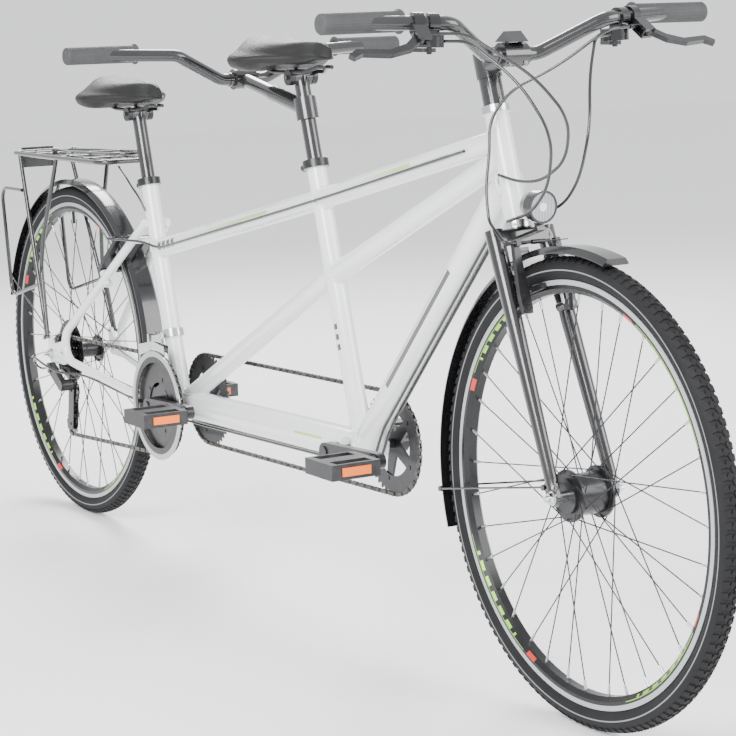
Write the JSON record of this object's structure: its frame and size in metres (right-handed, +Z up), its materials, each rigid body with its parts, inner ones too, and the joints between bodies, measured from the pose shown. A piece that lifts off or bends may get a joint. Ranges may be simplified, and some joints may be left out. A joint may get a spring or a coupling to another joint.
{
  "type": "tandem bicycle",
  "caption": "Two-seat bicycle with a long diamond frame, linked cranks, derailleur gears, rim brakes, mudguards, headlamp and a rear luggage rack.",
  "frame": {"origin": "on the ground, midway between the two wheel axles, in the middle plane", "axes": "+X forwards along the frame, +Y to the rider's left, +Z up"},
  "size_m": [2.5246, 0.6914, 1.0671],
  "materials": {
    "frame_paint": "gloss pearl white",
    "black_paint": "gloss black",
    "black_alloy": "satin black anodised",
    "black_plastic": "satin",
    "grip_rubber": "matt",
    "tyre_rubber": "matt, moulded tread",
    "saddle_cover": "soft vinyl",
    "rim_alloy": "machined and black anodised",
    "silver_alloy": "polished",
    "dark_steel": "oiled",
    "bright_steel": "zinc plated",
    "cable_housing": "gloss",
    "red_lens": "moulded prisms"
  },
  "bodies": {
    "frame": {"frame_tubes": "frame_paint", "seat_tubes": "frame_paint", "rear_triangle": "frame_paint", "seat_clamps": "silver_alloy", "bearing_cups": "silver_alloy", "rear_mudguard": "black_plastic", "luggage_rack": "black_paint", "rear_reflector": "red_lens", "derailleur_mounts": "silver_alloy", "drive_chain": "dark_steel", "timing_chain": "dark_steel", "rear_axle": "bright_steel", "frame_cables": "cable_housing"},
    "steering": {"fork": "black_paint", "stem": "black_paint", "handlebar": "black_paint", "handlebar_grips": "grip_rubber", "control_brackets": "black_alloy", "front_mudguard": "black_plastic", "headlamp": "black_alloy", "front_axle": "bright_steel", "steering_cables": "cable_housing"},
    "left_brake_lever": {"brake_lever_left": "silver_alloy"},
    "right_brake_lever": {"brake_lever_right": "silver_alloy"},
    "left_shift_lever": {"shift_lever_left": "silver_alloy"},
    "right_shift_lever": {"shift_lever_right": "silver_alloy"},
    "front_brake_left": {"front_brake_arm_left": "black_alloy"},
    "front_brake_right": {"front_brake_arm_right": "black_alloy"},
    "rear_brake_left": {"rear_brake_arm_left": "black_alloy"},
    "rear_brake_right": {"rear_brake_arm_right": "black_alloy"},
    "front_wheel": {"front_tyre": "tyre_rubber", "front_rim": "rim_alloy", "front_spokes": "dark_steel", "dynamo_hub": "black_alloy"},
    "rear_wheel": {"rear_tyre": "tyre_rubber", "rear_rim": "rim_alloy", "rear_spokes": "dark_steel", "rear_hub": "black_alloy"},
    "sprockets": {"freewheel": "dark_steel"},
    "captain_crank": {"captain_crankset": "black_alloy"},
    "stoker_crank": {"stoker_crankset": "black_alloy", "chainrings": "dark_steel"},
    "captain_right_pedal": {"captain_pedal_right": "black_plastic"},
    "captain_left_pedal": {"captain_pedal_left": "black_plastic"},
    "stoker_right_pedal": {"stoker_pedal_right": "black_plastic"},
    "stoker_left_pedal": {"stoker_pedal_left": "black_plastic"},
    "front_mech_cage": {"front_derailleur_cage": "silver_alloy"},
    "rear_mech_arm": {"rear_derailleur_arm": "black_alloy"},
    "rear_mech_cage": {"rear_derailleur_cage": "black_alloy"},
    "upper_jockey": {"upper_pulley": "black_plastic"},
    "lower_jockey": {"lower_pulley": "black_plastic"},
    "rack_spring_clip": {"rack_clip": "black_paint"},
    "captain_post": {"captain_seatpost": "black_paint", "stoker_bar": "black_paint", "stoker_grips": "grip_rubber"},
    "stoker_post": {"stoker_seatpost": "black_paint"},
    "captain_seat": {"captain_saddle": "saddle_cover", "captain_saddle_rails": "dark_steel"},
    "stoker_seat": {"stoker_saddle": "saddle_cover", "stoker_saddle_rails": "dark_steel"}
  },
  "joints": [
    {"name": "steering_turn", "type": "hinge", "parent": "frame", "child": "steering", "pos_m": [0.87075, 0, 0.33931], "axis": [-0.2924, 0, 0.9563], "range_deg": [-60, 60], "deforming": ["steering_cables"]},
    {"name": "front_wheel_spin", "type": "hinge", "parent": "steering", "child": "front_wheel", "pos_m": [0.909, 0, 0.351], "axis": [0, 1, 0], "continuous": true},
    {"name": "rear_wheel_spin", "type": "hinge", "parent": "frame", "child": "rear_wheel", "pos_m": [-0.909, 0, 0.351], "axis": [0, 1, 0], "continuous": true},
    {"name": "stoker_crank_spin", "type": "hinge", "parent": "frame", "child": "stoker_crank", "pos_m": [-0.427, 0, 0.303], "axis": [0, 1, 0], "continuous": true, "deforming": ["drive_chain", "timing_chain"]},
    {"name": "captain_crank_spin", "type": "hinge", "parent": "frame", "child": "captain_crank", "pos_m": [0.273, 0, 0.322], "axis": [0, 1, 0], "continuous": true},
    {"name": "sprocket_spin", "type": "hinge", "parent": "frame", "child": "sprockets", "pos_m": [-0.909, 0, 0.351], "axis": [0, 1, 0], "continuous": true},
    {"name": "rear_mech_swing", "type": "hinge", "parent": "frame", "child": "rear_mech_arm", "pos_m": [-0.897, -0.08, 0.322], "axis": [0, 1, 0], "range_deg": [-4, 12]},
    {"name": "rear_mech_cage_swing", "type": "hinge", "parent": "rear_mech_arm", "child": "rear_mech_cage", "pos_m": [-0.843, -0.058, 0.29], "axis": [0, 1, 0], "range_deg": [-18, 25]},
    {"name": "upper_jockey_spin", "type": "hinge", "parent": "rear_mech_cage", "child": "upper_jockey", "pos_m": [-0.851, -0.051, 0.276], "axis": [0, 1, 0], "continuous": true},
    {"name": "lower_jockey_spin", "type": "hinge", "parent": "rear_mech_cage", "child": "lower_jockey", "pos_m": [-0.861, -0.051, 0.203], "axis": [0, 1, 0], "continuous": true},
    {"name": "captain_right_pedal_spin", "type": "hinge", "parent": "captain_crank", "child": "captain_right_pedal", "pos_m": [0.44259, -0.14, 0.33386], "axis": [0, 1, 0], "continuous": true},
    {"name": "captain_left_pedal_spin", "type": "hinge", "parent": "captain_crank", "child": "captain_left_pedal", "pos_m": [0.10341, 0.14, 0.31014], "axis": [0, 1, 0], "continuous": true},
    {"name": "stoker_right_pedal_spin", "type": "hinge", "parent": "stoker_crank", "child": "stoker_right_pedal", "pos_m": [-0.25741, -0.14, 0.31486], "axis": [0, 1, 0], "continuous": true},
    {"name": "stoker_left_pedal_spin", "type": "hinge", "parent": "stoker_crank", "child": "stoker_left_pedal", "pos_m": [-0.59659, 0.14, 0.29114], "axis": [0, 1, 0], "continuous": true},
    {"name": "captain_post_height", "type": "slide", "parent": "frame", "child": "captain_post", "axis": [-0.284, 0, 0.9588], "range_m": [-0.06, 0.04]},
    {"name": "stoker_post_height", "type": "slide", "parent": "frame", "child": "stoker_post", "axis": [-0.2756, 0, 0.9613], "range_m": [-0.05, 0.04]},
    {"name": "captain_seat_tilt", "type": "hinge", "parent": "captain_post", "child": "captain_seat", "pos_m": [0.08697, 0, 0.95003], "axis": [0, 1, 0], "range_deg": [-6, 12]},
    {"name": "stoker_seat_tilt", "type": "hinge", "parent": "stoker_post", "child": "stoker_seat", "pos_m": [-0.58852, 0, 0.8663], "axis": [0, 1, 0], "range_deg": [-12, 12]},
    {"name": "left_brake_pull", "type": "hinge", "parent": "steering", "child": "left_brake_lever", "pos_m": [0.80942, 0.20432, 1.02436], "axis": [0.6082, 0.099, 0.7876], "range_deg": [0, 18]},
    {"name": "right_brake_pull", "type": "hinge", "parent": "steering", "child": "right_brake_lever", "pos_m": [0.80942, -0.20432, 1.02436], "axis": [-0.6082, 0.099, -0.7876], "range_deg": [0, 18]},
    {"name": "left_shift_push", "type": "hinge", "parent": "steering", "child": "left_shift_lever", "pos_m": [0.77576, 0.16739, 1.00659], "axis": [0.0062, -0.0306, 0.9995], "range_deg": [-10, 25]},
    {"name": "right_shift_push", "type": "hinge", "parent": "steering", "child": "right_shift_lever", "pos_m": [0.77576, -0.16739, 1.00659], "axis": [-0.0062, -0.0306, -0.9995], "range_deg": [-10, 25]},
    {"name": "front_brake_left_close", "type": "hinge", "parent": "steering", "child": "front_brake_left", "pos_m": [0.82061, 0.04, 0.61984], "axis": [0.95, 0, 0.3123], "range_deg": [0, 4]},
    {"name": "front_brake_right_close", "type": "hinge", "parent": "steering", "child": "front_brake_right", "pos_m": [0.82061, -0.04, 0.61984], "axis": [-0.95, 0, -0.3123], "range_deg": [0, 4]},
    {"name": "rear_brake_right_close", "type": "hinge", "parent": "frame", "child": "rear_brake_right", "pos_m": [-0.69869, -0.04, 0.54036], "axis": [-0.6691, 0, 0.7431], "range_deg": [0, 4]},
    {"name": "rear_brake_left_close", "type": "hinge", "parent": "frame", "child": "rear_brake_left", "pos_m": [-0.69869, 0.04, 0.54036], "axis": [0.6691, 0, -0.7431], "range_deg": [0, 4]},
    {"name": "front_mech_shift", "type": "hinge", "parent": "frame", "child": "front_mech_cage", "pos_m": [-0.46914, -0.03, 0.434], "axis": [1, 0, 0], "range_deg": [-1, 9]},
    {"name": "rack_clip_lift", "type": "hinge", "parent": "frame", "child": "rack_spring_clip", "pos_m": [-0.969, 0, 0.7775], "axis": [0, -1, 0], "range_deg": [0, 13]}
  ],
  "couplings": [
    {"joint": "captain_crank_spin", "follows": "stoker_crank_spin", "ratio": 1},
    {"joint": "sprocket_spin", "follows": "stoker_crank_spin", "ratio": 2.6667},
    {"joint": "upper_jockey_spin", "follows": "stoker_crank_spin", "ratio": -4.3636},
    {"joint": "lower_jockey_spin", "follows": "stoker_crank_spin", "ratio": 4.3636},
    {"joint": "front_brake_left_close", "follows": "left_brake_pull", "ratio": 0.22222},
    {"joint": "front_brake_right_close", "follows": "left_brake_pull", "ratio": 0.22222},
    {"joint": "rear_brake_left_close", "follows": "right_brake_pull", "ratio": 0.22222},
    {"joint": "rear_brake_right_close", "follows": "right_brake_pull", "ratio": 0.22222}
  ]
}
